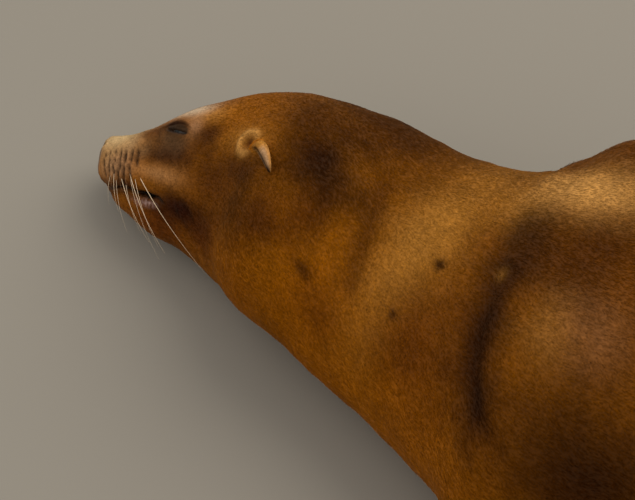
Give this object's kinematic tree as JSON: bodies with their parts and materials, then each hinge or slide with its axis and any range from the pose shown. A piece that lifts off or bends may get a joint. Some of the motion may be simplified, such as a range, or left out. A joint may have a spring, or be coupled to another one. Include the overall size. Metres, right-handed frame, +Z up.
{
  "type": "sea lion",
  "caption": "Life-size still model of a California sea lion asleep on its belly, neck stretched out and head rolled onto its right cheek.",
  "frame": {"origin": "centre of the bounding box on the floor plane", "axes": "+X from head to tail, +Y to the animal's right, +Z up from the floor it lies on"},
  "size_m": [1.8156, 0.8634, 0.3125],
  "materials": {
    "coat": "short flat golden-brown fur",
    "bare_skin": "bare dark leathery flipper skin",
    "eye": "wet dark eye behind nearly closed lids",
    "claw": "worn dark horn"
  },
  "bodies": {
    "root": {"head": "coat", "neck": "coat", "chest": "coat", "belly": "coat", "hindquarters": "coat", "tail": "coat", "ear_left": "coat", "ear_right": "coat", "eye_left": "eye", "eye_right": "eye", "fore_flipper_left": "bare_skin", "fore_flipper_right": "bare_skin", "hind_flipper_left": "bare_skin", "hind_flipper_right": "bare_skin", "claw_left_2": "claw", "claw_left_3": "claw", "claw_left_4": "claw", "claw_right_2": "claw", "claw_right_3": "claw", "claw_right_4": "claw"}
  },
  "joints": []
}
